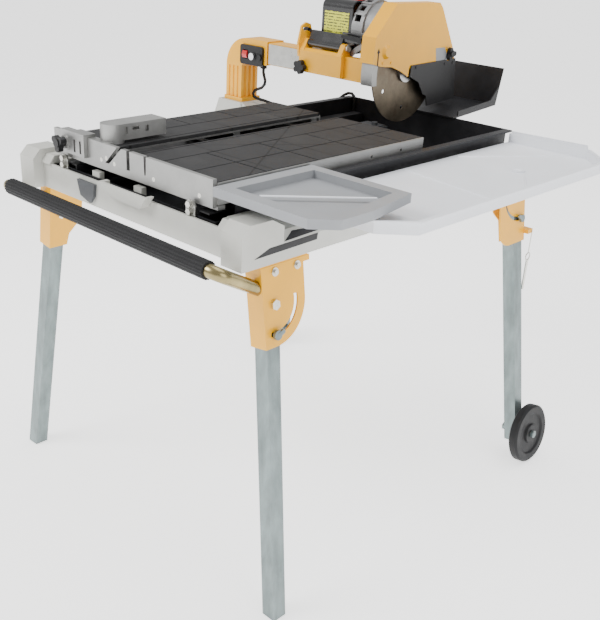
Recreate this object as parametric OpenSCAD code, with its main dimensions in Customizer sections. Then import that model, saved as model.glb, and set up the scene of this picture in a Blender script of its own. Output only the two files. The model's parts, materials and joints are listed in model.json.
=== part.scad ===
// Wet tile saw on a folding stand: rolling cutting table, cantilever arm with
// a beveling and plunging cutting head, water pan and side trays.
// Frame: +X operator's right, +Y away from the operator (cutting direction), +Z up.

/* [Base] */
// Width of the base casing
base_w = 690; // [680:1:700]
// Height of the base underside above the floor
base_z = 706; // [704:1:708]
// Wall thickness of the base casing
wall = 5; // [4:0.5:6]

/* [Table] */
// Half width of the rolling table
tab_hw = 230; // [229:0.5:231]
// Height of the table surface above the floor
tab_z = 828; // [827:0.5:829]
// Thickness of the rubber mat
mat_t = 7; // [6:0.5:8]
// Thickness of the fence plate
fence_t = 9; // [7:0.5:10]

/* [Blade] */
// Diameter of the cutting blade (10 inch)
blade_d = 254; // [250:1:254]
// Thickness of the blade core
blade_t = 2.2; // [1.8:0.1:2.4]
// Radius of the blade arbor (5/8 inch)
arbor_r = 7.94; // [7.94:0.01:7.95]

/* [Stand] */
// Side of the square leg tube
leg_s = 32; // [30:0.5:32]
// Wall of the leg tube
leg_wall = 2; // [1.5:0.25:3]
// Sideways lean of the legs in degrees
lean = 8.53; // [8.4:0.01:8.6]
// Fore and aft splay of the legs in degrees
splay = 3.43; // [3.3:0.01:3.5]
// Diameter of the transport wheels
wheel_d = 150; // [149:0.5:150]

/* [Head] */
// Height of the arbor centre above the floor
arb_z = 916; // [915:0.5:917]
// Distance of the arbor centre behind the base reference line
arb_y = 406; // [405:0.5:407]

/* [Hidden] */
OFF = [0, -71, 0];
$fn = 48;

yellow = "gold"; grey = "gainsboro"; black = "#202022"; zinc = "silver";

module place() { translate(OFF) children(); }
// extrude a Y,Z outline along X from x0 to x1
module yz(x0, x1) { translate([x0,0,0]) rotate([90,0,90]) linear_extrude(x1-x0) children(); }
// extrude an X,Z outline along Y from y0 to y1
module xz(y0, y1) { translate([0,y1,0]) rotate([90,0,0]) linear_extrude(y1-y0) children(); }
module xy(z0, z1) { translate([0,0,z0]) linear_extrude(z1-z0) children(); }
module box(x0,x1,y0,y1,z0,z1) { translate([x0,y0,z0]) cube([x1-x0,y1-y0,z1-z0]); }
module cylx(x0,x1,y,z,r) { translate([x0,y,z]) rotate([0,90,0]) cylinder(h=x1-x0, r=r); }
module cyly(y0,y1,x,z,r) { translate([x,y1,z]) rotate([90,0,0]) cylinder(h=y1-y0, r=r); }
module cylz(z0,z1,x,y,r) { translate([x,y,z0]) cylinder(h=z1-z0, r=r); }
module hexx(x0,x1,y,z,r) { translate([x0,y,z]) rotate([0,90,0]) cylinder(h=x1-x0, r=r, $fn=6); }
module hexy(y0,y1,x,z,r) { translate([x,y1,z]) rotate([90,0,0]) cylinder(h=y1-y0, r=r, $fn=6); }

// ---------------- base ----------------
bz = base_z; hw = base_w/2;
side_prof = [[hw,bz],[hw,740],[330,756],[262,770],[246,770],[246,765],[260,765],[327,751],[340,737],[340,bz+wall],[296,bz+wall],[296,bz]];
module base_casing() { color(grey) difference() { union() {
    box(-300,300,-456,494,bz,bz+wall);
    for (m=[0,1]) mirror([m,0,0]) {
        xz(-424,494) polygon(side_prof);
        // front corner block with a sloped cap
        yz(293,hw) polygon([[-480,bz],[-480,768],[-462,786],[-410,786],[-380,770],[-380,bz]]);
        yz(262,293) polygon([[-462,760],[-448,776],[-410,776],[-400,768],[-400,760]]);
    }
    xz(-456,-451) polygon([[-300,bz],[300,bz],[300,760],[-300,760]]);
    xz(489,494) polygon([[-340,bz],[340,bz],[340,738],[326,752],[262,765],[-262,765],[-326,752],[-340,738]]);
    // hand pocket moulded on the front wall
    xz(-476,-456) polygon([[-66,772],[82,772],[62,748],[-44,748]]);
    }
    // hollow inside of the corner blocks
    for (m=[0,1]) mirror([m,0,0]) box(298,340,-474,-386,bz+wall,760);
    for (m=[0,1]) mirror([m,0,0]) box(255,300,-451,-386,bz+wall,757);
    box(-38,56,-470,-451,752,773);
    box(-56,74,-470,-451,764,773);
    cylz(bz-1,bz+wall+1,150,185,14);
}}
module drain_sump() { color("#4a4c50") difference() { box(70,300,85,285,652,bz); box(73,297,88,282,655,bz-3); cylz(bz-5,bz+1,150,185,14); cylz(650,656,240,185,14); } }
module drain_plug() { color(black) { cylz(644,652,240,185,19); cylz(652,655,240,185,13.9); } }
module storage_clip() { color("#4a4c50") xz(-463,-456) polygon([[-160,753],[-101,753],[-105,728],[-118,712],[-150,722]]); }

pan_y0 = -446; pan_y1 = 487;
module water_pan() { color(black) difference() { union() {
    box(-241,241,pan_y0,pan_y1,711,806);
    box(-256,256,-398,pan_y1+2,802,806);
    }
    box(-237.5,237.5,pan_y0+3.5,pan_y1-3.5,715,810);
    // front of the pan is cut low so that the table frame clears it
    box(-260,260,pan_y0-1,-398,762,810);
    box(-260,-230,-399,-110,779,810);
    cylz(705,720,150,185,14);
}}
module rail_supports() { color(grey) {
    for (x=[-205,205], y=[-400,0,400]) box(x-12,x+12,y-12,y+12,715,740);
    for (x=[-124,12]) box(x-12,x+12,-441,-429,715,772);
}}
module table_rails() { color(black) for (m=[0,1]) mirror([m,0,0])
    xz(-442,470) polygon([[190,740],[220,740],[220,743],[193,743],[193,769],[220,769],[220,772],[190,772]]);
}
latch_x = [-222,178];
module rail_end_brackets() { color(zinc) for (x=latch_x)
    difference() { xz(-450,-446.5) polygon([[x-9,736],[x+9,736],[x+13,748],[x+13,778],[x+7,788],[x-7,788],[x-13,778],[x-13,748]]);
        for (z=[767.5,781]) cyly(-452,-444,x,z,4); }
}
module rail_end_bolts_() { color(zinc) for (x=latch_x, z=[767.5,781]) { hexy(-457,-450,x,z,6.4); cyly(-450,-446.5,x,z,3.9); } }

// ---------------- stand ----------------
ax = 336; fy = -408; fz = 631; ry = 405; rz = 681; rx = 328.5;
// put children, drawn about the leg pivot (x out, y toward the middle, z up), at one corner
module corner(left, rear) mirror([left,0,0])
    translate([rear?rx:ax, rear?ry:fy, rear?rz:fz]) rotate([0,-lean,0]) mirror([0,rear,0]) children();
module plate_outer(rear) difference() {
    union() {
        if (rear==0) { translate([-27,0]) square([106,80]); translate([-27,-79]) square([106,80]); translate([78,60]) square([17,20]); }
        else { translate([-27,-72]) square([106,104]); translate([-27,-112]) square([67,60]); translate([39,-72]) circle(r=40); }
    }
    if (rear==0) difference() { translate([0,-80]) square([81,80]); circle(r=79); }
    // quarter slot for the lock bolt
    intersection() { difference() { circle(r=59.5); circle(r=50.5); } rotate(-8) translate([0,-62]) square([62,77]); }
    translate([55*sin(-8), -55*cos(8)]) circle(r=4.5);
    translate([55*cos(4), 55*sin(4)-3]) circle(r=4.5);
    circle(r=5.1);
}
module bracket(left, rear) color(yellow) { difference() { corner(left,rear) {
        yz(17,20) plate_outer(rear);
        if (rear==0) yz(-20,-17) difference() { polygon([[-27,-79],[19,-79],[24,-53],[46,-30],[56,0],[56,85],[-27,85]]); circle(r=5.1); }
        else yz(-20,-17) difference() { polygon([[-27,-112],[19,-112],[24,-60],[46,-40],[56,-20],[56,32],[-27,32]]); circle(r=5.1); }
        translate([-20,-27,rear?-112:-79]) cube([40,3,rear?144:164]);
    }
    box(-500,500,-700,700,703.5,900); }
    mirror([left,0,0]) if (rear==0) box(300,344.5,-436,-318,703,706); else box(300,344.5,330,432,703,706);
}
module bracket_front_right() { bracket(0,0); }
module bracket_front_left() { bracket(1,0); }
module bracket_rear_right() { bracket(0,1); 
    color(yellow) difference() { box(352,374,429,449,590,600); cylx(350,376,445,595,1.3); } }
module bracket_rear_left() { bracket(1,1); }
module bracket_screws_() { color(zinc) for (l=[0,1]) {
    for (y=[0,50]) corner(l,0) { cylx(20,22,12+y-(y?0:6),62-(y?4:4),8); cylx(22,26,12+y-(y?0:6),62-(y?4:4),4.5); } } }
module leg_pivot_bolts_() { color(zinc) for (l=[0,1], r=[0,1]) corner(l,r) { cylx(-20,20,0,0,5); hexx(20,26,0,0,10); hexx(-26,-20,0,0,9); } }

module leg_body(left, rear) {
    L = rear ? 647 : 700;
    color(zinc) difference() { corner(left,rear) rotate([-splay,0,0]) difference() {
            translate([-leg_s/2,-leg_s/2,-L]) cube([leg_s,leg_s,L+12]);
            translate([-leg_s/2+leg_wall,-leg_s/2+leg_wall,-L-1]) cube([leg_s-2*leg_wall,leg_s-2*leg_wall,L-40]);
            cylx(-20,20,0,0,5.05);
            if (rear) cylx(-20,20,0,-619.7,6.05);
        }
        if (!rear) box(-600,600,-700,-300,-120,0);
    }
    // lock bolt with its winged head, carried by the leg through the quarter slot
    color(zinc) corner(left,rear) rotate([-splay,0,0]) { 
        cylx(16,24,0,-55,4); cylx(24,30,0,-55,9);
        hull() { cylx(27,30,0,-55,5,$fn=24); cylx(27,31,rear?14:12,rear?-47:-50,4,$fn=24); }
    }
    // rubber foot plug or axle
    if (!rear) color(black) difference() { corner(left,rear) rotate([-splay,0,0]) translate([-leg_s/2+leg_wall,-leg_s/2+leg_wall,-L-1]) cube([leg_s-2*leg_wall,leg_s-2*leg_wall,90]);
        box(-600,600,-700,-300,-120,0); }
    else color(zinc) corner(left,rear) rotate([-splay,0,0]) { cylx(-20,62,0,-619.7,6); hexx(-27,-16,0,-619.7,10); hexx(54.5,61,0,-619.7,10); cylx(16,29.5,0,-619.7,9); }
}
module leg_front_right() { leg_body(0,0); }
module leg_front_left() { leg_body(1,0); }
module leg_rear_right() { leg_body(0,1); }
module leg_rear_left() { leg_body(1,1); }
module wheel(left) corner(left,1) rotate([-splay,0,0]) translate([0,0,-619.7]) rotate([0,90,0]) {
    color(black) rotate_extrude($fn=64) polygon([[6.06,30],[24,30],[26,35],[50,35],[54,31],[70,30],[75,34],[75,50],[70,54],[54,53],[50,49],[26,49],[24,54],[6.06,54]]);
}
module wheel_right() { wheel(0); }
module wheel_left() { wheel(1); }
// spare locking pin hanging from its wire on the rear right leg bracket
module hitch_pin() { color(zinc) { 
    cylx(350.5,376.7,445,595,1.2); cylz(538.5,595,375.5,445,1.2); translate([375.5,445,531]) rotate([90,0,90]) rotate_extrude() translate([9,0]) circle(r=1.4,$fn=16); 
    cylz(446,523.2,375.5,445,3.2); } }

// handle: tube bent twice, in a plane that rises to the front
module handle_frame() translate([0,-436,666]) rotate([-28,0,0]) mirror([0,1,0]) children();
module handle_tube() { color("khaki") difference() { handle_frame() for (m=[0,1]) mirror([m,0,0]) {
      translate([336,-12,0]) rotate([-90,0,0]) cylinder(h=90,r=12.5);
      translate([314,78,0]) rotate_extrude(angle=90) translate([22,0]) circle(r=12.5);
      translate([-1,100,0]) rotate([0,90,0]) cylinder(h=315,r=12.5);
  }
  box(-500,500,-435,-380,600,760); }
}
module handle_grip() { color(black) handle_frame() translate([-312,100,0]) rotate([0,90,0]) difference() {
    linear_extrude(624) difference() { circle(r=17); for (a=[0:20:359]) rotate(a) translate([17.6,0]) circle(r=2,$fn=16); }
    translate([0,0,-1]) cylinder(h=626,r=12.55); } }

// ---------------- column and arm ----------------
cy0 = 272; cy1 = 333;
module column_mount() { color(grey) { difference() { union() {
        hull() { box(-534,-446,258,347,779,780); box(-538,-430,245,360,735,740); }
        hull() { box(-447,-446,262,343,779,780); box(-346,-345,240,366,712,752); box(-447,-446,250,356,735,736); }
    } cylx(-500,-340,300,730,6); } } }
module fluted() difference() { square([61,60]); for (s=[14,30.5,47]) { translate([s,0]) circle(r=4,$fn=24); translate([s,60]) circle(r=4,$fn=24); } 
    for (s=[14,30,46]) { translate([0,s]) circle(r=3.5,$fn=24); translate([61,s]) circle(r=3.5,$fn=24);} translate([6,6]) square([49,48]); }
module column_elbow() { color(yellow) { difference() { union() {
        // post
        translate([-460,cy0,780]) linear_extrude(92) rotate(90) fluted();
        // bend
        translate([-445,cy0,872]) rotate([90,0,0]) rotate([0,0,90]) mirror([0,0,1]) rotate_extrude(angle=90) translate([15,0]) difference() { square([60,61]); translate([6,6]) square([48,49]); }
        // socket for the arm
        difference() { box(-445,-365,cy0,cy1,887,947); box(-446,-364,cy0+6,cy1-6,893,941); }
        box(-522,-452,268,337,780,790);
    } 
    box(-516,-466,278,327,779,800);
    cylz(880,895,-404,300,6.05); 
    box(-450,-430,262,290,896.5,919.5); cyly(262,290,-408,906,7.05); cyly(262,290,-386,905,5.05); } } }
module control_panel() { color(black) difference() { hull() for (x=[-453,-383], z=[889,925]) cyly(265,cy0,x,z,7,$fn=32);
    box(-449.5,-430.5,260,275,896.5,919.5); cyly(260,275,-408,906,7.05); cyly(260,275,-386,905,5.05); } }
module power_rocker() { color("red") intersection() { box(-448.6,-431.4,258,276,899,917); translate([-440,276,908]) rotate([0,90,0]) cylinder(h=30,r=15.5,center=true); } }
module breaker_button() { color(zinc) { cyly(255,262,-408,906,9); cyly(262,275.5,-408,906,7); } }
module pump_socket_() { color(black) { cyly(261,265,-386,905,8); cyly(265,278,-386,905,5); } }
module cable_gland_() { color(black) { cylz(873,887,-404,300,9); cylz(887,893,-404,300,6); } }
// pump lead: out of the gland, one slack loop beside the column, down, over the pan rim to the pump
lead = [[-404,300,872.6],[-403,299,862],[-396,296,852],[-388,292,844],[-388,290,834],[-398,290,824],[-414,292,818],[-430,296,812],[-440,299,802],[-441,303,793],[-432,309,788],
  [-412,316,785],[-385,328,778],[-355,346,768],[-325,370,769],[-298,400,774],[-280,430,782],[-270,455,794],[-262,472,808],[-252,478,814],[-240,479,815],[-231,479,809],[-229,479,795],[-229,479,770],[-229,477,745],[-226,472,731],[-212,462,724],[-188,446,724],[-160,432,727]];
function unit(v) = v/norm(v);
function tang(p,i) = unit((i<len(p)-1?p[i+1]:p[i]) - (i>0?p[i-1]:p[i]));
function ring(p,i,r,n) = let(t=tang(p,i), a=unit(cross(t,[0.13,1,0.21])), b=cross(t,a)) [for (k=[0:n-1]) p[i]+r*(cos(360*k/n)*a+sin(360*k/n)*b)];
module tube(p,r,n=8) polyhedron(points=[for (i=[0:len(p)-1]) each ring(p,i,r,n)],
    faces=concat([[for (k=[0:n-1]) k]],[for (i=[0:len(p)-2],k=[0:n-1]) each [[i*n+k,(i+1)*n+k,(i+1)*n+(k+1)%n],[i*n+k,(i+1)*n+(k+1)%n,i*n+(k+1)%n]]],[[for (k=[n-1:-1:0]) (len(p)-1)*n+k]]));
module pump_cable() { color(black) tube(lead,4); }
module water_pump() { color("#3a3d42") { box(-159,-89,395,455,715,757); cylz(757,768,-110,425,8); box(-154,-94,400,450,757,760); } }

arm_x1 = -38;
module arm_beam() { color(yellow) difference() { union() { box(-364,arm_x1,276,329,890,944); box(-444,-360,279,326,893.5,940.5); }
    box(-450,-360,283,322,897.5,936.5); box(-361,arm_x1-4,280,325,894,940);
    box(-168,arm_x1+1,294,340,898,950); }
    
}
module arm_slide_plate() { color(zinc) box(-360,-250,273,276,892,942); }
// saddle clamped on the arm with two hinge ears
px_y = 284; px_z = 962;
module saddle_block() { color(yellow) difference() { union() {
    yz(-241,-102) polygon([[262,893],[275.9,893],[275.9,944.1],[294,944.1],[294,950],[270,950],[262,944]]);
    for (x=[-241,-118]) yz(x,x+14) polygon([[262,944],[294,950],[294,962],[290,970],[284,972],[276,970],[272,962]]);
    // slotted plunge quadrant
    yz(-247,-241) difference() { polygon([[262,928],[275.9,928],[275.9,944.1],[297,944.1],[308,975],[300,1003],[284,1008],[268,1000],[258,960]]); 
       translate([px_y,px_z]) intersection() { difference() { circle(r=35.5); circle(r=26.5); } rotate(20) square(60); } }
    }
    cylx(-250,-90,px_y,px_z,5.05);
    cyly(255,277,-228,905,6.05);
    box(-226.5,-118.5,270,296,950.1,990);
}}
module saddle_knob() { color(black) difference() { union() { cyly(248,261,-228,905,8); for (a=[0:72:359]) translate([-228,0,905]) rotate([0,a,0]) cyly(246,258,11,0,6.5); cyly(246,258,-228,905,12); } }
    color(zinc) cyly(261,276,-228,905,6); }
module plunge_pin_() { color(zinc) { cylx(-241,-104,px_y,px_z,5); hexx(-104,-98,px_y,px_z,9); } }

// ---------------- rear guard and side tray ----------------
module rear_splash_guard() { color(black) {
    yz(-133,95) polygon([[476,806.2],[489.3,806.2],[489.3,794],[492.3,794],[492.3,806.4],[665,819],[683,911],[680,911],[662.5,822],[476,809.2]]);
    for (x=[-133,92]) yz(x,x+3) polygon([[496,808],[662.5,820],[672,866],[640,834],[496,822]]);
} }
tr_y0=-310; tr_y1=487;
module tray_outline(d) polygon([[257,tr_y0+d],[478+d*0.4,tr_y0+d],[538-d,tr_y0+58],[538-d,tr_y1-76],[462,tr_y1-d],[257,tr_y1-d]]);
module side_splash_tray() { color("white") difference() { union() {
        xy(776,800) tray_outline(0);
        xz(tr_y1-8,tr_y1-5) polygon([[260,790],[460,790],[455,810],[262,806]]);
    }
    xy(780,801) difference() { tray_outline(10); }
    xy(770,797) difference() { tray_outline(-1); tray_outline(4); }
    translate([257-1,tr_y0+10,788]) cube([12,tr_y1-tr_y0-20,20]);
    translate([420,250,770]) cylinder(h=20,r=9);
    }
    color("white") { difference() { translate([420,250,776]) cylinder(h=8,r=14); translate([420,250,770]) cylinder(h=20,r=9); }
      for (y=[60,400]) xz(y,y+14) polygon([[262,771.5],[330,757.5],[346,751],[346,728],[352,728],[352,777],[262,777]]); }
}

// ---------------- rolling table ----------------
slot0=-72; slot1=-14;
tz = tab_z-mat_t;
module table_frame() { color(zinc) difference() { union() {
    for (s=[-1,1]) box(s>0?tab_hw-4:-tab_hw, s>0?tab_hw:-tab_hw+4, -431,166,787,tab_z-1);
    box(-tab_hw+4,tab_hw-4,-431,162,tz-4,tz);
    box(-tab_hw+4,tab_hw-4,162,166,787,tz);
    for (y=[-428,-110,140]) box(-tab_hw+4,tab_hw-4,y,y+18,776,784);
    for (y=[-428,-110,140], x=[-210,-80,-10,206]) box(x,x+4,y,y+18,784,tz-4);
    for (s=[-1,1], y=[-300,60]) { box(s>0?222:-226, s>0?226:-222, y-16,y+16,745,800); cylx(s>0?199:-222, s>0?222:-199, y,756,5); }
    }
    box(slot0,slot1,-424,170,785,tab_z+5);
    // lightening windows along the lower edge of the side plates
    for (s=[-1,1]) { box(s*tab_hw-6,s*tab_hw+6,-112,-40,780,799); box(s*tab_hw-6,s*tab_hw+6,-30,60,780,794); box(s*tab_hw-6,s*tab_hw+6,70,142,780,802); 
       for (y=[-9,88]) cylx(s*tab_hw-8,s*tab_hw+8,y,811,3); }
}}
module table_mat() { color(black) difference() { box(-tab_hw+4.2,tab_hw-4.2,-431,162,tz,tab_z);
    box(slot0,slot1,-440,170,tz-1,tab_z+1);
    for (x=[-150,-86,-6,60,145]) box(x-1.5,x+1.5,-440,170,tab_z-2,tab_z+1);
    for (y=[-310,-170,-30,90]) { box(-240,-152,y-1.5,y+1.5,tab_z-2,tab_z+1); box(60,240,y-1.5,y+1.5,tab_z-2,tab_z+1); }
}}
f_y = -440;
module fence_plate() { color(zinc) difference() { box(-269,226,f_y,f_y+fence_t,782,834);
    box(-22,-12,f_y-1,f_y+10,797,840);
    xz(f_y-1,f_y+10) polygon([[-36,836],[-50,836],[-91,797],[-79,797]]);
    xz(f_y-1,f_y+10) polygon([[31,836],[39,836],[37,799],[33,799]]);
    for (p=[[-105,800],[-88,806],[-62,800],[60,797],[190,797]]) { cyly(f_y-1,f_y+10,p[0],p[1],3); cyly(f_y-1,f_y+2.5,p[0],p[1],4.6); }
}}
module fence_screws() { color(zinc) for (p=[[-105,800],[-88,806],[-62,800],[60,797],[190,797]]) { cyly(f_y+0.2,f_y+2.5,p[0],p[1],4.5); cyly(f_y+2.5,f_y+fence_t,p[0],p[1],2.9); } }
module rollers(y) color("#404044") for (m=[0,1]) mirror([m,0,0]) difference() { union() { cylx(198,217,y,756,12.5); cylx(217,221,y,756,8); } cylx(190,230,y,756,5.05); }
module table_rollers_front() rollers(-300);
module table_rollers_rear() rollers(60);

st = [[233,-446],[455,-446],[494,-406],[494,-330],[470,-195],[233,-195]];
module side_table() { color("#a9aeb2") { difference() { xy(807,824) polygon(st);
    xy(797,820.5) polygon([[236,-443],[453,-443],[491,-405],[491,-331],[467,-198],[236,-198]]);
    xy(816,830) polygon([[262,-420],[440,-420],[466,-392],[466,-340],[448,-220],[262,-220]]);
    }
    difference() { xy(807,821) polygon([[258,-424],[442,-424],[470,-394],[470,-338],[451,-216],[258,-216]]);
      xy(809,830) polygon([[262,-420],[440,-420],[466,-392],[466,-340],[448,-220],[262,-220]]); }
    // hooks on the table side plate
    for (y=[-420,-240]) box(230.2,236,y-12,y+12,807.5,820);
    xy(807.5,820.5) polygon([[236,-443],[258,-443],[258,-198],[236,-198]]);
    }
    }
// rip and angle guide
gx=-115; gy=-404; kx=-216; kz=815;
module guide_clamp_() { color(zinc) difference() { union() {
    box(-232,-150,-449,-440.3,794,838); box(-232,-150,-449,-429,834.3,840);
    box(-200,-90,-430.5,-420,828.4,834); cylz(828.4,834,gx,gy,24); box(-200,-150,-431,-420,828.4,840);
    cyly(-453,-449,kx,kz,13);
    } cylz(820,850,gx,gy,6.05); cyly(-456,-440,kx,kz,5.05); 
    for (x=[-186,-166]) xz(-450,-438) polygon([[x,800],[x+6,800],[x+6,826],[x,826]]); } }
module guide_bar_() { color(zinc) difference() { union() {
    difference() { xy(834.3,866) { translate([gx,gy]) circle(r=24); polygon([[gx-24,gy],[gx+24,gy],[gx+24,-287],[gx-24,-287]]); }
       xy(838,862) polygon([[gx-20,gy+26],[gx+20,gy+26],[gx+20,-280],[gx-20,-280]]); }
    cylz(820.5+8,834.3,gx,gy,6);
    }
    box(gx+19,gx+26,-392,-384,846,860); box(gx+19,gx+26,-372,-356,852,858); box(gx+19,gx+26,-340,-332,846,858);
    } }
module guide_knob() { color(black) { cyly(-472,-453.2,kx,kz,9); for (a=[90,210,330]) translate([kx,0,kz]) rotate([0,a,0]) hull() { cyly(-470,-458,0,0,9,$fn=32); cyly(-470,-458,12,0,7,$fn=32); } }
    color(zinc) cyly(-453.2,-440.6,kx,kz,5); }

// ---------------- cutting head ----------------
bx=-17; bvz=858; my=368; mz=1007;
module head_frame() { color("#8d9296") difference() { union() {
    cylx(-226,-119,px_y,px_z,10);
    yz(-226,-119) polygon([[284,953],[295,953],[295,992],[288,992],[280,970]]);
    yz(-226,-220) polygon([[284,953],[295,953],[307,974],[307.4,990],[288,990]]);
    yz(-125,-44) polygon([[287,976],[295,976],[295,998],[287,998]]);
    translate([-58.7,0,986.4]) cyly(295,302.8,0,0,4.9);
    translate([-58.7,0,986.4]) cyly(302.8,303.4,0,0,3);
    }
    cylx(-240,-100,px_y,px_z,5.05); }
    color(zinc) { cyly(281,287,-58.7,986.4,8); }
}
module plunge_knob() { color(black) { cylx(-262,-247.5,px_y+19.9,px_z+23.7,9); } color(zinc) cylx(-247.5,-226,px_y+19.9,px_z+23.7,4); }
module bevel_sector() { color("#8d9296") translate([bx,0,bvz]) xz(296.2,302) difference() {
    intersection() { difference() { circle(r=152,$fn=96); circle(r=118,$fn=96); } polygon([[-5,0],[-39,180],[-200,180],[-200,81]]); }
    intersection() { difference() { circle(r=140.4,$fn=96); circle(r=129.6,$fn=96); } polygon([[0,0],[-62,191],[-260,191],[-260,120]]); }
    rotate(108) translate([135,0]) circle(r=5.4); rotate(153.2) translate([135,0]) circle(r=5.4);
  } }
module bevel_lever() { color(black) { cyly(271,280.8,-58.7,986.4,7); hull() { cyly(272,280,-62,986.4,5,$fn=24); cyly(272,280,-112,990,4.5,$fn=24); } } }
// motor: axis along X
module rbox(x0,x1,y0,y1,z0,z1,r) { box(x0,x1,y0+r,y1-r,z0,z1); box(x0,x1,y0,y1,z0+r,z1-r); for (y=[y0+r,y1-r],z=[z0+r,z1-r]) cylx(x0,x1,y,z,r); }
module motor_cover() { color(black) difference() { union() { rbox(-208,-112,304,432,945,1069,20); rbox(-214,-208,310,426,951,1063,14); }
    rbox(-210.5,-111,307.5,428.5,948.5,1065.5,17); } }
module motor_housing() { color(zinc) difference() { union() {
    cylx(-112,-78,my,mz,65);
    hull() { cylx(-78,-37,my,mz,60,$fn=64); cylx(-78,-37,arb_y,arb_z,38,$fn=64); }
    for (a=[0:30:359]) translate([0,my,mz]) rotate([a,0,0]) box(-111,-79,-3,3,60,67);
    box(-112,-82,301.9,340,985,1000);
    }
    cylx(-113,-84,my,mz,59); 
    hull() { cylx(-72,-41,my,mz,50,$fn=64); cylx(-72,-41,arb_y,arb_z,33.5,$fn=64); }
    cylx(-85,-70,my,mz,14); cylx(-42,-36,arb_y,arb_z,14);
    for (a=[20:24:70]) translate([0,my,mz]) rotate([a,0,0]) box(-106,-88,-8,8,50,80);
    box(-300,-36,295,302,850,1100);
    translate([bx,0,bvz]) rotate([0,0,0]) xz(270,302.1) intersection() { circle(r=154,$fn=96); translate([-200,0]) square([200,200]); }
    }
    // ball bearings in their seats
    color("gray") { difference() { cylx(-83.9,-72.1,my,mz,13.9); cylx(-90,-60,my,mz,8.05); } 
      difference() { cylx(-41,-37.1,arb_y,arb_z,13.9); cylx(-50,-30,arb_y,arb_z,arbor_r+2.06); } }
}
module rating_plate() { color("khaki") box(-200,-122,303.3,304,990,1040); }
module head_handle() { color("#c8584c") yz(-200,-114) polygon([[340,1069],[396,1069],[390,1079],[346,1079]]); }
module motor_stator() { color("#6b4a2c") difference() { cylx(-190,-126,my,mz,58); cylx(-210,-120,my,mz,39); for (a=[0:30:359]) translate([0,my,mz]) rotate([a,0,0]) box(-206,-120,-4,4,38,50); } }
module motor_rotor() { color("#70747a") { cylx(-186,-130,my,mz,38); cylx(-209,-186,my,mz,8); cylx(-130,-44,my,mz,8); 
    difference() { cylx(-66,-48,my,mz,30); for (x=[-64:4:-50]) difference() { cylx(x,x+2,my,mz,31); cylx(x-1,x+3,my,mz,27.5); } }
    translate([-208,my,mz]) rotate([0,90,0]) { cylinder(h=3,r=50); for (a=[0:40:359]) rotate(a) translate([14,-1.5,1]) cube([34,3,13]); } } }
module drive_belt() { color(black) difference() { hull() { cylx(-65,-49,my,mz,33,$fn=64); cylx(-65,-49,arb_y,arb_z,31,$fn=64); }
    hull() { cylx(-70,-40,my,mz,30.4,$fn=64); cylx(-70,-40,arb_y,arb_z,28.4,$fn=64); } } }
guard = [[252,942],[256,1001],[326,1073],[496,1069],[510,1056],[578,950],[587,925],[396,922],[394,901],[360,918],[325,930],[285,934]];
guard_in = [[256,930],[259,1000],[327.5,1069.5],[494.5,1065.5],[507,1054],[574.5,948.5],[583,915],[500,880],[300,880]];
module blade_guard() { color(yellow) difference() { union() { yz(-36,4) polygon(guard); 
      translate([4,300,966]) rotate([0,90,0]) cylinder(h=6,r1=16,r2=10); }
    yz(-33,1) polygon(guard_in);
    cylx(-40,-30,arb_y,arb_z,14.2); cylx(1,10,555,946,4.05); }
    color(zinc) for (p=[[290,942],[322,941]]) cylx(4,5.5,p[0],p[1],3.5);
}
module inner_guard() { color(zinc) yz(-32.8,0.8) intersection() { difference() { translate([arb_y,arb_z]) circle(r=149,$fn=96); translate([arb_y,arb_z]) circle(r=131,$fn=96); } polygon([[250,890],[300,890],[300,975],[262,975],[257.5,931],[250,929]]); } }
module guard_knob() { color(black) { cylx(5,20,555,946,8); for (a=[30,150,270]) translate([0,555,946]) rotate([a,0,0]) hull() { cylx(9,18,0,0,7,$fn=24); cylx(9,18,0,11,6,$fn=24); } } color(zinc) cylx(1.2,5,555,946,4); }
module side_flap_() { color(black) difference() { yz(4.2,7.2) polygon([[398,902],[400,928],[586,932],[600,831],[482,823],[474,849],[459,854],[436,885]]); cylx(0,10,555,946,18); }
    color(zinc) for (y=[420,540,575]) cylx(7.2,9,y,922,3.5); }
module rear_flap_() { color(black) { yz(-36,3.6) polygon([[588,836],[591,836],[591,924],[588,924]]); } }
module arbor_shaft() { color(zinc) { cylx(-70,-40.9,arb_y,arb_z,10-0.2); cylx(-40.9,-27,arb_y,arb_z,arbor_r+2); cylx(-27,-2,arb_y,arb_z,arbor_r);
      difference() { cylx(-66,-48,arb_y,arb_z,28); cylx(-70,-40,arb_y,arb_z,9.8); for (x=[-64:4:-50]) difference() { cylx(x,x+2,arb_y,arb_z,29); cylx(x-1,x+3,arb_y,arb_z,25.5); } } }
    color("gray") { difference() { cylx(-27,bx-blade_t/2-0.0,arb_y,arb_z,30); cylx(-28,-10,arb_y,arb_z,arbor_r); }
      difference() { cylx(bx+blade_t/2,-9,arb_y,arb_z,30); cylx(-20,-5,arb_y,arb_z,arbor_r); } }
    color(zinc) difference() { hexx(-9,-1,arb_y,arb_z,14); cylx(-10,-2,arb_y,arb_z,arbor_r); } }
module saw_blade() { color("#7d7263") difference() { union() { cylx(bx-blade_t/2,bx+blade_t/2,arb_y,arb_z,blade_d/2-7);
      difference() { cylx(bx-1.3,bx+1.3,arb_y,arb_z,blade_d/2); cylx(bx-2,bx+2,arb_y,arb_z,blade_d/2-7); } }
    cylx(-25,-10,arb_y,arb_z,arbor_r); for (a=[0:60:359]) translate([0,arb_y,arb_z]) rotate([a,0,0]) cylx(-25,-10,0,92,5); } }
module frame_bolts() { rail_end_bolts_(); bracket_screws_(); leg_pivot_bolts_(); plunge_pin_(); }
module panel_fittings() { cable_gland_(); pump_socket_(); }
module splash_flaps() { side_flap_(); rear_flap_(); }
module angle_guide() { guide_clamp_(); guide_bar_(); }

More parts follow.
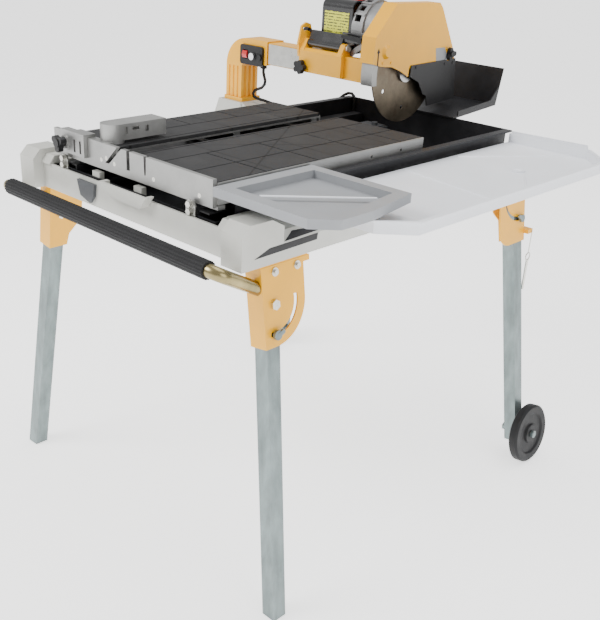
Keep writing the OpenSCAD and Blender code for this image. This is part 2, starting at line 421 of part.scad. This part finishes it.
place() { base_casing(); column_mount(); }
place() water_pan();
place() rail_supports();
place() table_rails();
place() rail_end_brackets();
place() frame_bolts();
place() bracket_front_right();
place() bracket_front_left();
place() bracket_rear_right();
place() bracket_rear_left();
place() handle_tube();
place() handle_grip();
place() column_elbow();
place() control_panel();
place() breaker_button();
place() power_rocker();
place() panel_fittings();
place() pump_cable();
place() water_pump();
place() drain_plug();
place() arm_beam();
place() arm_slide_plate();
place() saddle_block();
place() saddle_knob();
place() rear_splash_guard();
place() side_splash_tray();
place() table_frame();
place() table_mat();
place() fence_plate();
place() fence_screws();
place() table_rollers_front();
place() table_rollers_rear();
place() side_table();
place() angle_guide();
place() guide_knob();
place() head_frame();
place() plunge_knob();
place() bevel_lever();
place() { motor_housing(); bevel_sector(); }
place() motor_cover();
place() rating_plate();
place() head_handle();
place() motor_stator();
place() motor_rotor();
place() drive_belt();
place() blade_guard();
place() inner_guard();
place() splash_flaps();
place() guard_knob();
place() arbor_shaft();
place() saw_blade();
place() leg_front_right();
place() leg_front_left();
place() leg_rear_right();
place() leg_rear_left();
place() wheel_right();
place() wheel_left();
place() hitch_pin();
place() drain_sump();
place() storage_clip();
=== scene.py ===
import bpy
import json
import math
from mathutils import Matrix, Vector


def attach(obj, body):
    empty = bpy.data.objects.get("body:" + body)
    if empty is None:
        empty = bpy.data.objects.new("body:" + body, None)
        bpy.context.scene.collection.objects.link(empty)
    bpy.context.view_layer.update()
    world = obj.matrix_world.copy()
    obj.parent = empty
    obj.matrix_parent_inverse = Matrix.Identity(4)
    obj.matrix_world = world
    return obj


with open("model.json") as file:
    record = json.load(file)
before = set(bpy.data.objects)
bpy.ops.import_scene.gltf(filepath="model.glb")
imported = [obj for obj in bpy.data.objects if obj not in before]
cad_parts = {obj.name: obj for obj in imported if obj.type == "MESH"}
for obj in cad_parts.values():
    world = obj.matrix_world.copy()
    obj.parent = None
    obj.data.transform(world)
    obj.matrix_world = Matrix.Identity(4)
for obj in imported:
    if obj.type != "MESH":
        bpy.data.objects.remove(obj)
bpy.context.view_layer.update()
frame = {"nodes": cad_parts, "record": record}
nodes = frame["nodes"]


# ---------------------------------------------------------------- materials


def material(name, color, rough=0.5, metal=0.0, vary=0.08, scale=30.0, bump=0.0, bump_scale=200.0,
             coat=0.0, stretch=(1, 1, 1), rough_vary=0.12, dirt=None, dirt_amount=0.0):
    m = bpy.data.materials.new(name)
    m.use_nodes = True
    t = m.node_tree
    n = t.nodes
    b = n["Principled BSDF"]
    b.inputs["Metallic"].default_value = metal
    b.inputs["Coat Weight"].default_value = coat
    b.inputs["Coat Roughness"].default_value = 0.15
    tc = n.new("ShaderNodeTexCoord")
    mp = n.new("ShaderNodeMapping")
    mp.inputs["Scale"].default_value = stretch
    t.links.new(tc.outputs["Object"], mp.inputs["Vector"])
    ns = n.new("ShaderNodeTexNoise")
    ns.inputs["Scale"].default_value = scale
    ns.inputs["Detail"].default_value = 6.0
    ns.inputs["Roughness"].default_value = 0.6
    t.links.new(mp.outputs["Vector"], ns.inputs["Vector"])
    ramp = n.new("ShaderNodeValToRGB")
    lo = [max(0.0, c * (1 - vary)) for c in color]
    hi = [min(1.0, c * (1 + vary)) for c in color]
    ramp.color_ramp.elements[0].position = 0.3
    ramp.color_ramp.elements[0].color = (*lo, 1)
    ramp.color_ramp.elements[1].position = 0.7
    ramp.color_ramp.elements[1].color = (*hi, 1)
    t.links.new(ns.outputs["Fac"], ramp.inputs["Fac"])
    out = ramp.outputs["Color"]
    if dirt is not None:
        dn = n.new("ShaderNodeTexNoise")
        dn.inputs["Scale"].default_value = 9.0
        dn.inputs["Detail"].default_value = 8.0
        dn.inputs["Roughness"].default_value = 0.7
        t.links.new(tc.outputs["Object"], dn.inputs["Vector"])
        dr = n.new("ShaderNodeMapRange")
        dr.inputs["From Min"].default_value = 0.5
        dr.inputs["From Max"].default_value = 0.75
        dr.inputs["To Max"].default_value = dirt_amount
        t.links.new(dn.outputs["Fac"], dr.inputs["Value"])
        mx = n.new("ShaderNodeMix")
        mx.data_type = "RGBA"
        mx.inputs["B"].default_value = (*dirt, 1)
        t.links.new(dr.outputs["Result"], mx.inputs["Factor"])
        t.links.new(out, mx.inputs["A"])
        out = mx.outputs["Result"]
    t.links.new(out, b.inputs["Base Color"])
    rr = n.new("ShaderNodeMapRange")
    rr.inputs["To Min"].default_value = max(0.03, rough - rough_vary)
    rr.inputs["To Max"].default_value = min(1.0, rough + rough_vary)
    t.links.new(ns.outputs["Fac"], rr.inputs["Value"])
    t.links.new(rr.outputs["Result"], b.inputs["Roughness"])
    if bump:
        fn = n.new("ShaderNodeTexNoise")
        fn.inputs["Scale"].default_value = bump_scale
        fn.inputs["Detail"].default_value = 3.0
        t.links.new(mp.outputs["Vector"], fn.inputs["Vector"])
        bp = n.new("ShaderNodeBump")
        bp.inputs["Strength"].default_value = bump
        bp.inputs["Distance"].default_value = 0.001
        t.links.new(fn.outputs["Fac"], bp.inputs["Height"])
        t.links.new(bp.outputs["Normal"], b.inputs["Normal"])
    return m


YEL = (0.88, 0.42, 0.0)
M = {
    "casing_grey": material("casing_grey", (0.52, 0.52, 0.48), 0.5, bump=0.25, bump_scale=900, vary=0.04, dirt=(0.45, 0.43, 0.38), dirt_amount=0.25),
    "pan_black": material("pan_black", (0.014, 0.014, 0.016), 0.42, bump=0.3, bump_scale=700, vary=0.3),
    "rail_black": material("rail_black", (0.014, 0.014, 0.015), 0.4, vary=0.3, bump=0.1),
    "zinc": material("zinc", (0.42, 0.42, 0.4), 0.3, 1.0, vary=0.16, scale=45, bump=0.08, bump_scale=300),
    "bolt_zinc": material("bolt_zinc", (0.66, 0.65, 0.6), 0.28, 1.0, vary=0.12, scale=120),
    "yellow_paint": material("yellow_paint", YEL, 0.36, vary=0.05, scale=14, bump=0.12, bump_scale=350, coat=0.12),
    "chromate": material("chromate", (0.33, 0.27, 0.13), 0.28, 1.0, vary=0.25, scale=22),
    "grip_rubber": material("grip_rubber", (0.013, 0.013, 0.014), 0.6, bump=0.3, bump_scale=600, vary=0.3),
    "black_plastic": material("black_plastic", (0.013, 0.013, 0.014), 0.38, bump=0.2, bump_scale=800, vary=0.3),
    "chrome": material("chrome", (0.75, 0.75, 0.76), 0.15, 1.0, vary=0.05, scale=80, rough_vary=0.06),
    "red_plastic": material("red_plastic", (0.55, 0.02, 0.02), 0.3, vary=0.08, coat=0.3),
    "cable_rubber": material("cable_rubber", (0.012, 0.012, 0.012), 0.5, bump=0.15, vary=0.3),
    "dark_plastic": material("dark_plastic", (0.07, 0.074, 0.08), 0.5, bump=0.25, bump_scale=700, vary=0.12),
    "tray_white": material("tray_white", (0.84, 0.86, 0.9), 0.42, vary=0.025, scale=8, bump=0.2, bump_scale=600),
    "tray_grey": material("tray_grey", (0.29, 0.3, 0.315), 0.42, vary=0.05, scale=16, bump=0.3, bump_scale=900),
    "table_aluminium": material("table_aluminium", (0.38, 0.38, 0.37), 0.42, 0.85, vary=0.12, scale=25, bump=0.25, bump_scale=380, stretch=(1, 1, 1)),
    "cast_grey": material("cast_grey", (0.3, 0.3, 0.3), 0.48, 0.8, vary=0.15, scale=50, bump=0.5, bump_scale=420),
    "motor_black": material("motor_black", (0.012, 0.012, 0.013), 0.25, vary=0.3, bump=0.1, bump_scale=300, coat=0.4),
    "winding": material("winding", (0.4, 0.13, 0.03), 0.3, 0.8, vary=0.3, scale=200, stretch=(1, 8, 8)),
    "steel": material("steel", (0.5, 0.5, 0.5), 0.3, 1.0, vary=0.1, scale=60),
    "belt_rubber": material("belt_rubber", (0.015, 0.015, 0.015), 0.7, bump=0.3, vary=0.3),
    "leg_zinc": material("leg_zinc", (0.19, 0.23, 0.23), 0.36, 0.8, vary=0.28, scale=38, bump=0.15, bump_scale=420, stretch=(1, 1, 0.35)),
    "wheel_black": material("wheel_black", (0.012, 0.012, 0.013), 0.55, bump=0.4, bump_scale=240, vary=0.3, rough_vary=0.2),
}


def band_lines(t, src, normal, period, width, offset=0.0):
    """1 on thin straight lines across the object, 0 elsewhere."""
    n = t.nodes
    d = n.new("ShaderNodeVectorMath")
    d.operation = "DOT_PRODUCT"
    d.inputs[1].default_value = (*normal, 0) if len(normal) == 2 else normal
    t.links.new(src, d.inputs[0])
    a = n.new("ShaderNodeMath")
    a.operation = "ADD"
    a.inputs[1].default_value = offset
    t.links.new(d.outputs["Value"], a.inputs[0])
    f = n.new("ShaderNodeMath")
    f.operation = "PINGPONG"
    f.inputs[1].default_value = period / 2
    t.links.new(a.outputs[0], f.inputs[0])
    c = n.new("ShaderNodeMath")
    c.operation = "LESS_THAN"
    c.inputs[1].default_value = width / 2
    t.links.new(f.outputs[0], c.inputs[0])
    return c.outputs[0]


# rubber mat: fine pimples, worn centre, moulded diagonal grooves with painted shade along them
mr = material("mat_rubber", (0.021, 0.021, 0.022), 0.62, vary=0.35, scale=60, bump=0.6, bump_scale=520, dirt=(0.06, 0.058, 0.055), dirt_amount=0.4)
M["mat_rubber"] = mr
mr.node_tree.nodes["Principled BSDF"].inputs["Specular IOR Level"].default_value = 0.3

flap = material("flap_rubber", (0.016, 0.016, 0.017), 0.5, vary=0.3, bump=0.3, bump_scale=300)
t = mr.node_tree
tc = t.nodes.new("ShaderNodeTexCoord")
acc = None
for nv, per, off in (((0.83, 0.56, 0.0), 0.31, 0.05), ((0.83, -0.56, 0.0), 0.31, 0.11), ((0.0, 1.0, 0.0), 0.17, 0.02)):
    ln = band_lines(t, tc.outputs["Object"], nv, per, 0.0034, off)
    if acc is None:
        acc = ln
    else:
        mxm = t.nodes.new("ShaderNodeMath")
        mxm.operation = "MAXIMUM"
        t.links.new(acc, mxm.inputs[0])
        t.links.new(ln, mxm.inputs[1])
        acc = mxm.outputs[0]
pb = t.nodes["Principled BSDF"]
old = pb.inputs["Base Color"].links[0].from_socket
# groove lines painted near-black: painted shade in the grooves, on top of their bump
mm = t.nodes.new("ShaderNodeMix")
mm.data_type = "RGBA"
mm.inputs["B"].default_value = (0.004, 0.004, 0.004, 1)
t.links.new(acc, mm.inputs["Factor"])
t.links.new(old, mm.inputs["A"])
t.links.new(mm.outputs["Result"], pb.inputs["Base Color"])
gb = t.nodes.new("ShaderNodeBump")
gb.invert = True
gb.inputs["Strength"].default_value = 0.9
gb.inputs["Distance"].default_value = 0.002
oldn = pb.inputs["Normal"].links[0].from_socket
t.links.new(acc, gb.inputs["Height"])
t.links.new(oldn, gb.inputs["Normal"])
t.links.new(gb.outputs["Normal"], pb.inputs["Normal"])

# blade steel: a rust film
bl = material("blade_steel", (0.2, 0.165, 0.12), 0.42, 0.9, vary=0.3, scale=26, bump=0.2, dirt=(0.11, 0.055, 0.03), dirt_amount=0.8)
M["blade_steel"] = bl

# yellow label with plain dark bars and boxes, no lettering
lb = material("label_yellow", (0.72, 0.74, 0.05), 0.4, vary=0.03)
t = lb.node_tree
tc = t.nodes.new("ShaderNodeTexCoord")
l1 = band_lines(t, tc.outputs["Object"], (0, 0, 1), 0.0068, 0.0028)
br = t.nodes.new("ShaderNodeTexNoise")
br.inputs["Scale"].default_value = 260
t.links.new(tc.outputs["Object"], br.inputs["Vector"])
gt = t.nodes.new("ShaderNodeMath")
gt.operation = "GREATER_THAN"
gt.inputs[1].default_value = 0.47
t.links.new(br.outputs["Fac"], gt.inputs[0])
ml = t.nodes.new("ShaderNodeMath")
ml.operation = "MULTIPLY"
t.links.new(l1, ml.inputs[0])
t.links.new(gt.outputs[0], ml.inputs[1])
old = t.nodes["Principled BSDF"].inputs["Base Color"].links[0].from_socket
mx = t.nodes.new("ShaderNodeMix")
mx.data_type = "RGBA"
mx.inputs["B"].default_value = (0.03, 0.03, 0.025, 1)
t.links.new(ml.outputs[0], mx.inputs["Factor"])
t.links.new(old, mx.inputs["A"])
t.links.new(mx.outputs["Result"], t.nodes["Principled BSDF"].inputs["Base Color"])
M["label_yellow"] = lb

for nm in ("pan_black", "grip_rubber", "black_plastic", "wheel_black", "cable_rubber", "rail_black"):
    M[nm].node_tree.nodes["Principled BSDF"].inputs["Specular IOR Level"].default_value = 0.3

slots = {s["node"]: s["material_slot"] for s in frame["record"]["subparts"]}
for name, o in nodes.items():
    o.data.materials.clear()
    o.data.materials.append(flap if name == "splash_flaps" else M[slots[name]])
    if name not in ("pump_cable", "drive_belt", "motor_stator"):
        bv = o.modifiers.new("edge", "BEVEL")
        bv.width = 0.0009
        bv.segments = 2
        bv.limit_method = "ANGLE"
        bv.angle_limit = math.radians(38)
        bv.use_clamp_overlap = True
        bv.harden_normals = False

OY = -0.071


def P(x, y, z):
    return Vector((x / 1000.0, y / 1000.0 + OY, z / 1000.0))


def mesh(name, verts, faces, mat, body, bevel=0.0, smooth=False):
    me = bpy.data.meshes.new(name)
    me.from_pydata([P(*v) for v in verts], [], faces)
    me.validate()
    me.update()
    o = bpy.data.objects.new(name, me)
    bpy.context.scene.collection.objects.link(o)
    me.materials.append(mat)
    if smooth:
        for p in me.polygons:
            p.use_smooth = True
    if bevel:
        b = o.modifiers.new("edge", "BEVEL")
        b.width = bevel / 1000.0
        b.segments = 2
        b.limit_method = "ANGLE"
    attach(o, body)
    return o


def prism(name, outline, axis, a, b, mat, body, bevel=0.0):
    """Closed prism: outline in the plane across axis, from a to b along it (mm)."""
    k = {"x": lambda p, h: (h, p[0], p[1]), "y": lambda p, h: (p[0], h, p[1]), "z": lambda p, h: (p[0], p[1], h)}[axis]
    n = len(outline)
    v = [k(p, a) for p in outline] + [k(p, b) for p in outline]
    area = sum(outline[i][0] * outline[(i + 1) % n][1] - outline[(i + 1) % n][0] * outline[i][1] for i in range(n))
    flip = (area > 0) != (axis == "y")
    f = [tuple(range(n)), tuple(range(2 * n - 1, n - 1, -1))] + [(i, i + n, (i + 1) % n + n, (i + 1) % n) for i in range(n)]
    if flip:
        f = [tuple(reversed(q)) for q in f]
    return mesh(name, v, f, mat, body, bevel)


def circle(cx, cy, r, n=24, a0=0.0, a1=360.0, close=True):
    m = n if close else n - 1
    return [(cx + r * math.cos(math.radians(a0 + (a1 - a0) * i / m)), cy + r * math.sin(math.radians(a0 + (a1 - a0) * i / m))) for i in range(n)]


# direction arrow and plain stripes on the blade guard
prism("guard_arrow", [(268, 936), (272, 936), (272, 966), (276, 966), (270, 976), (264, 966), (268, 966)][::-1], "x", 4.05, 4.5, M["black_plastic"], "head")
prism("guard_panel", [(505, 930), (558, 930), (536, 962), (498, 962)], "x", 4.05, 4.4, M["tray_grey"], "head")

# dark wedge stripes on the right side of the casing, one on the upright face and one on the slope above it
prism("side_stripe_a", [(-451, 724), (-414, 737), (-292, 739.5), (-294, 727)], "x", 345.05, 345.4, M["black_plastic"], "base")


def on_slope(y, z, lift):
    return (345 - (z - 740) * 15 / 16 + lift * 0.73, y, z + lift * 0.68)


b0 = [on_slope(y, z, 0.05) for y, z in ((-377, 741), (-350, 752), (-284, 749), (-284, 743))]
b1 = [on_slope(y, z, 0.4) for y, z in ((-377, 741), (-350, 752), (-284, 749), (-284, 743))]
mesh("side_stripe_b", b0 + b1, [(0, 1, 2, 3), (7, 6, 5, 4), (0, 4, 5, 1), (1, 5, 6, 2), (2, 6, 7, 3), (3, 7, 4, 0)], M["black_plastic"], "base")

# moulded ridges across the white tray
for k, (x0, y0, x1, y1) in enumerate(((268, 250, 420, 470), (440, 240, 520, 120), (268, 60, 520, 20))):
    d = Vector((x1 - x0, y1 - y0)).normalized()
    nrm = Vector((-d.y, d.x)) * 3.0
    a, b = Vector((x0, y0)), Vector((x1, y1))
    pts = [a + nrm, b + nrm, b - nrm, a - nrm]
    v = [(q.x, q.y, 779.9) for q in pts] + [((a + nrm * 0.25).x, (a + nrm * 0.25).y, 782.2), ((b + nrm * 0.25).x, (b + nrm * 0.25).y, 782.2), ((b - nrm * 0.25).x, (b - nrm * 0.25).y, 782.2), ((a - nrm * 0.25).x, (a - nrm * 0.25).y, 782.2)]
    mesh("tray_ridge_%d" % k, v, [(3, 2, 1, 0), (4, 5, 6, 7), (0, 1, 5, 4), (1, 2, 6, 5), (2, 3, 7, 6), (3, 0, 4, 7)], M["tray_white"], "splash_tray", 0.3)

# diagonal rib in the recess of the grey side table
v = [(300, -400, 815.9), (306, -403, 815.9), (440, -250, 815.9), (434, -247, 815.9), (301, -400.5, 818), (305, -402.5, 818), (439, -250.5, 818), (435, -247.5, 818)]
mesh("side_table_rib", v, [(3, 2, 1, 0), (4, 5, 6, 7), (0, 1, 5, 4), (1, 2, 6, 5), (2, 3, 7, 6), (3, 0, 4, 7)], M["tray_white"], "side_table", 0.3)

# ------------------------------------------------------------------ stage
bpy.ops.mesh.primitive_plane_add(size=60, location=(0, 0, 0))
floor = bpy.context.object
floor.name = "floor"
fm = material("floor", (0.97, 0.97, 0.97), 0.9, vary=0.005, scale=2)
fb = fm.node_tree.nodes["Principled BSDF"]
fb.inputs["Emission Color"].default_value = (1, 1, 1, 1)
fb.inputs["Emission Strength"].default_value = 1.35
floor.data.materials.append(fm)

w = bpy.data.worlds.new("studio")
bpy.context.scene.world = w
w.use_nodes = True
w.node_tree.nodes["Background"].inputs[0].default_value = (1.0, 1.0, 1.0, 1)
w.node_tree.nodes["Background"].inputs[1].default_value = 0.8


def area(name, loc, target, size, power):
    d = bpy.data.lights.new(name, "AREA")
    d.shape = "RECTANGLE"
    d.size, d.size_y = size
    d.energy = power
    o = bpy.data.objects.new(name, d)
    bpy.context.scene.collection.objects.link(o)
    o.location = loc
    o.rotation_euler = (Vector(target) - Vector(loc)).to_track_quat("-Z", "Y").to_euler()
    return o


area("key", (-1.2, -2.6, 2.9), (0, 0, 0.7), (1.8, 1.4), 90)
area("fill", (3.0, -0.6, 1.8), (0, 0, 0.6), (1.6, 1.6), 25)
area("top", (0.3, 0.6, 3.2), (0, 0, 0.8), (2.4, 2.0), 45)

# ----------------------------------------------------------------- camera
yaw, pitch, roll = math.radians(43.9), math.radians(26.01), math.radians(2.6)
fwd = Vector((-math.sin(yaw) * math.cos(pitch), math.cos(yaw) * math.cos(pitch), -math.sin(pitch)))
right = Vector((math.cos(yaw), math.sin(yaw), 0))
up = right.cross(fwd)
R = right * math.cos(roll) + up * math.sin(roll)
U = -right * math.sin(roll) + up * math.cos(roll)
cam = bpy.data.cameras.new("cam")
cam.lens = 51.98
cam.sensor_width = 36
cam.shift_x = 0.0462
cam.shift_y = 0.0576
cam.clip_end = 100
co = bpy.data.objects.new("cam", cam)
bpy.context.scene.collection.objects.link(co)
m = Matrix((R, U, -fwd)).transposed().to_4x4()
m.translation = Vector((1.3570, -1.4512 + OY, 1.2587))
co.matrix_world = m
bpy.context.scene.camera = co
